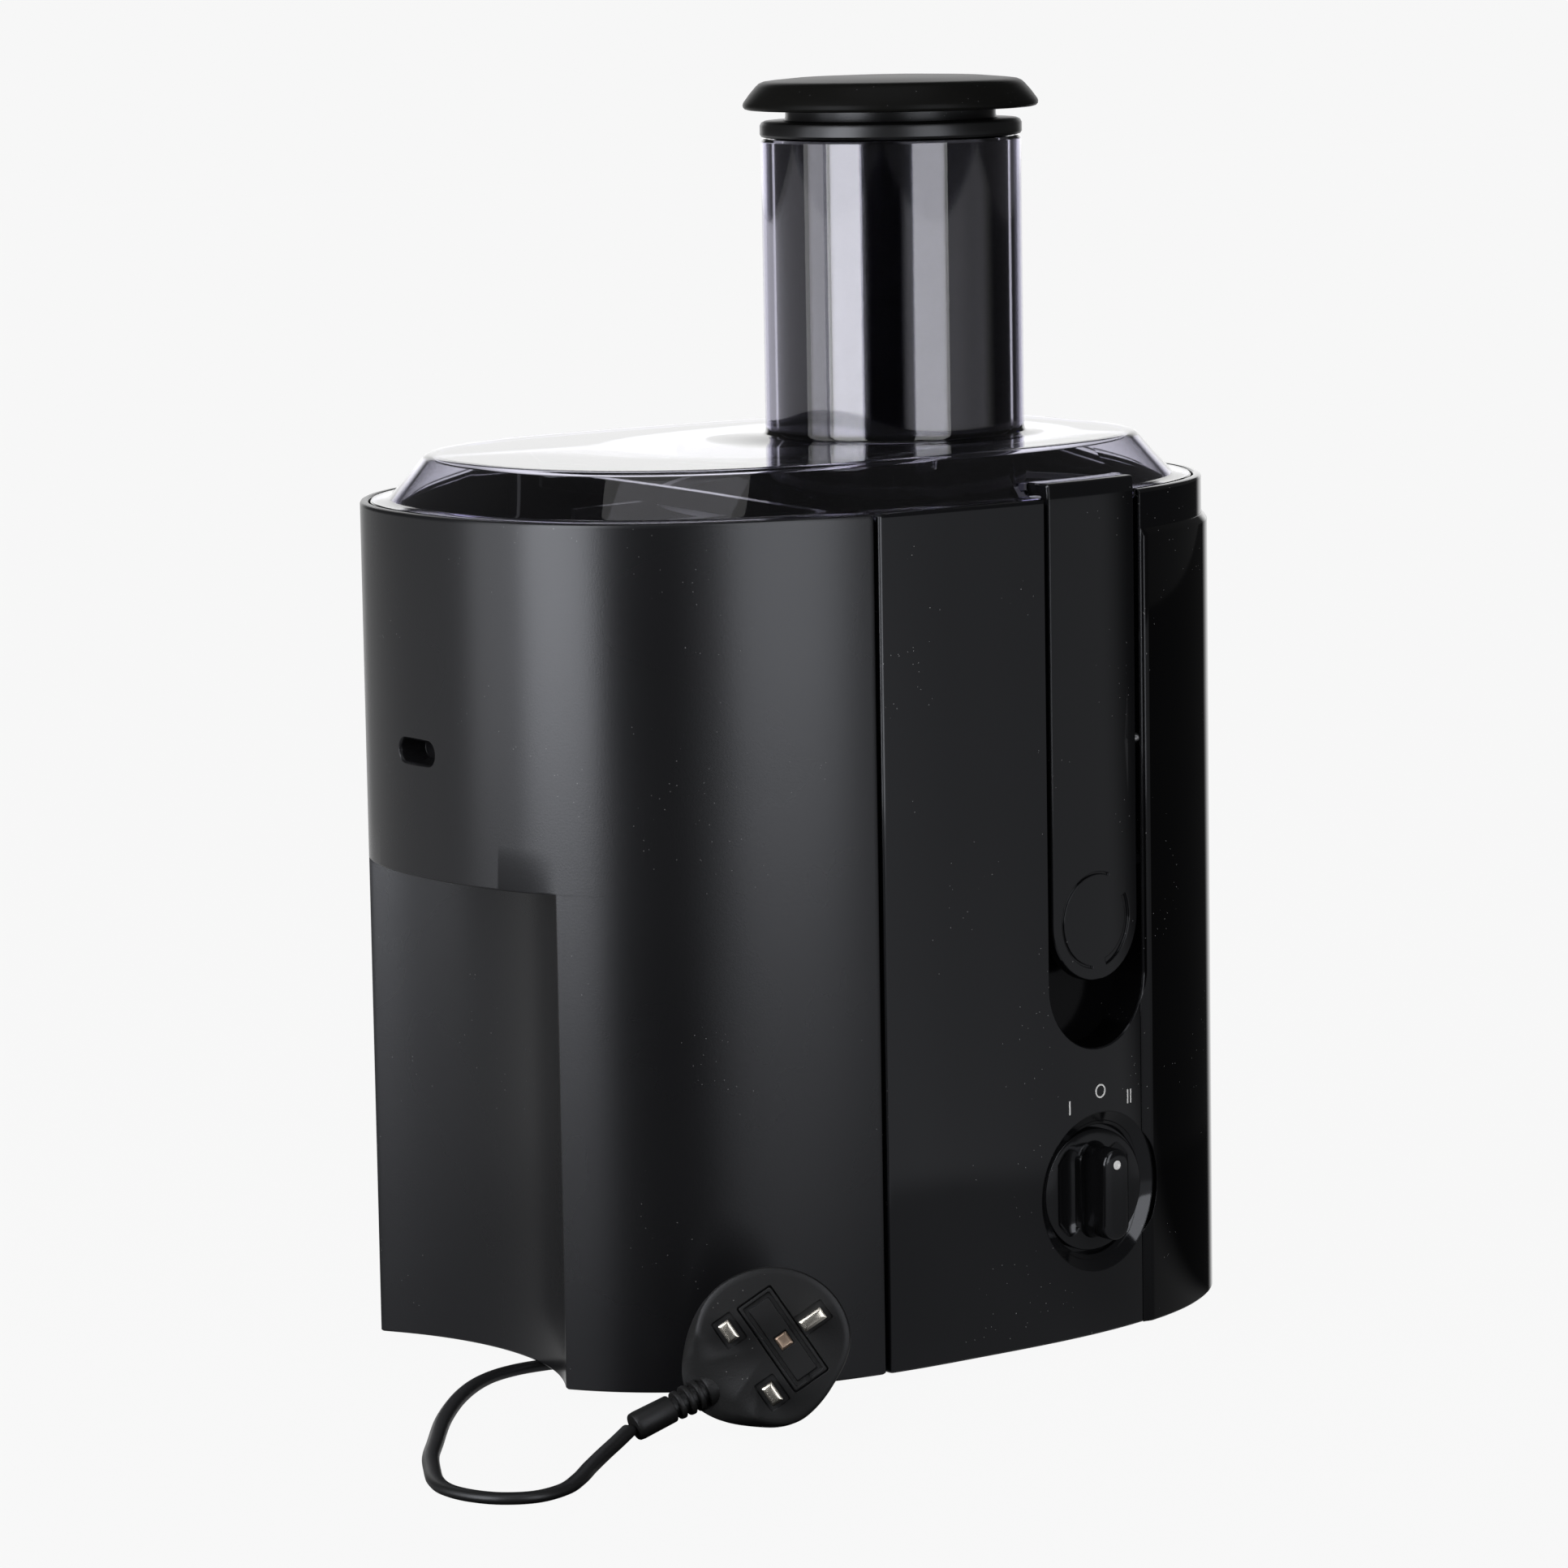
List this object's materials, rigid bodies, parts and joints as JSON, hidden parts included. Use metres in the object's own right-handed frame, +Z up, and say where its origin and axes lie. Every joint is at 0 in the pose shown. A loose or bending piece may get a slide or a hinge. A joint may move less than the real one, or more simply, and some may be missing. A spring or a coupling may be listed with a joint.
{
  "type": "centrifugal juicer",
  "caption": "Centrifugal juicer: oval motor unit with side knob and latches, slide-off pulp container, clear lid with round feed tube, pusher, spinning grater basket.",
  "frame": {"origin": "on the surface that the feet stand on, under the middle of the oval body", "axes": "+X towards the juice spout, -Y towards the control knob, +Z up"},
  "size_m": [0.3773, 0.2542, 0.3954],
  "materials": {
    "gloss_black": "polished black ABS",
    "matte_black": "fine-grained matte black ABS",
    "inner_black": "satin black polypropylene",
    "soft_black": "soft black PVC or rubber",
    "smoke_gloss": "polished black",
    "satin_black": "satin black",
    "clear": "clear moulded plastic",
    "grey_seal": "silicone rubber",
    "white_print": "white print",
    "steel": "stainless steel",
    "laminations": "varnished iron stack",
    "copper": "enamelled copper",
    "alloy": "cast alloy",
    "brass": "plated brass",
    "board": "circuit board",
    "red_switch": "red switch body",
    "wire_blue": "insulated leads"
  },
  "bodies": {
    "root": {"motor_housing": "gloss_black", "front_panel": "gloss_black", "base_plate": "inner_black", "feet": "soft_black", "base_screws": "steel", "cord_hub": "inner_black", "cord_gland": "soft_black", "motor_stator": "laminations", "field_windings": "copper", "lower_bracket": "alloy", "upper_bracket": "alloy", "lower_bearing": "steel", "upper_bearing": "steel", "brush_holders": "brass", "motor_mounts": "soft_black", "control_board": "board", "rotary_switch": "inner_black", "interlock_switch": "red_switch", "wiring": "wire_blue", "latch_pins": "steel", "dial_marks": "white_print", "juice_bowl": "inner_black", "bowl_seal": "grey_seal", "spout_seal": "grey_seal", "cord_coil": "soft_black", "cord_feed": "soft_black", "cord_lead": "soft_black", "plug_body": "inner_black", "plug_relief": "soft_black", "plug_pins": "brass", "plug_earth_pin": "brass", "fuse_carrier": "inner_black"},
    "spinner": {"armature": "laminations", "commutator": "copper", "motor_shaft": "steel", "cooling_fan": "inner_black", "drive_coupling": "steel", "basket_hub": "inner_black", "basket_mesh": "steel", "basket_rim": "inner_black", "grater_disc": "steel"},
    "lid": {"lid": "clear", "lid_seal": "grey_seal"},
    "pusher": {"pusher_body": "smoke_gloss", "pusher_collar": "soft_black", "pusher_cap": "satin_black"},
    "container": {"pulp_container": "matte_black"},
    "latch_near": {"latch_near": "gloss_black"},
    "latch_far": {"latch_far": "gloss_black"},
    "knob": {"knob": "gloss_black", "knob_spindle": "steel", "knob_dot": "white_print"},
    "spout": {"spout_nozzle": "gloss_black"}
  },
  "joints": [
    {"name": "lid_lift", "type": "slide", "parent": "root", "child": "lid", "axis": [0, 0, 1], "range_m": [0, 0.09]},
    {"name": "pusher_slide", "type": "slide", "parent": "lid", "child": "pusher", "axis": [0, 0, 1], "range_m": [0, 0.12]},
    {"name": "spinner_spin", "type": "hinge", "parent": "root", "child": "spinner", "pos_m": [0.045, 0, 0.19], "axis": [0, 0, 1], "continuous": true},
    {"name": "pulp_slide", "type": "slide", "parent": "root", "child": "container", "axis": [-1, 0, 0], "range_m": [0, 0.13]},
    {"name": "near_latch_turn", "type": "hinge", "parent": "root", "child": "latch_near", "pos_m": [0.047, -0.09178, 0.19], "axis": [1, 0, 0], "range_deg": [0, 6]},
    {"name": "far_latch_turn", "type": "hinge", "parent": "root", "child": "latch_far", "pos_m": [0.047, 0.09178, 0.19], "axis": [-1, 0, 0], "range_deg": [0, 6]},
    {"name": "knob_turn", "type": "hinge", "parent": "root", "child": "knob", "pos_m": [0.047, -0.1, 0.0493], "axis": [0, -1, 0], "range_deg": [-26, 26]},
    {"name": "spout_turn", "type": "hinge", "parent": "root", "child": "spout", "pos_m": [0.143, 0, 0.174], "axis": [1, 0, 0], "range_deg": [0, 180]}
  ]
}
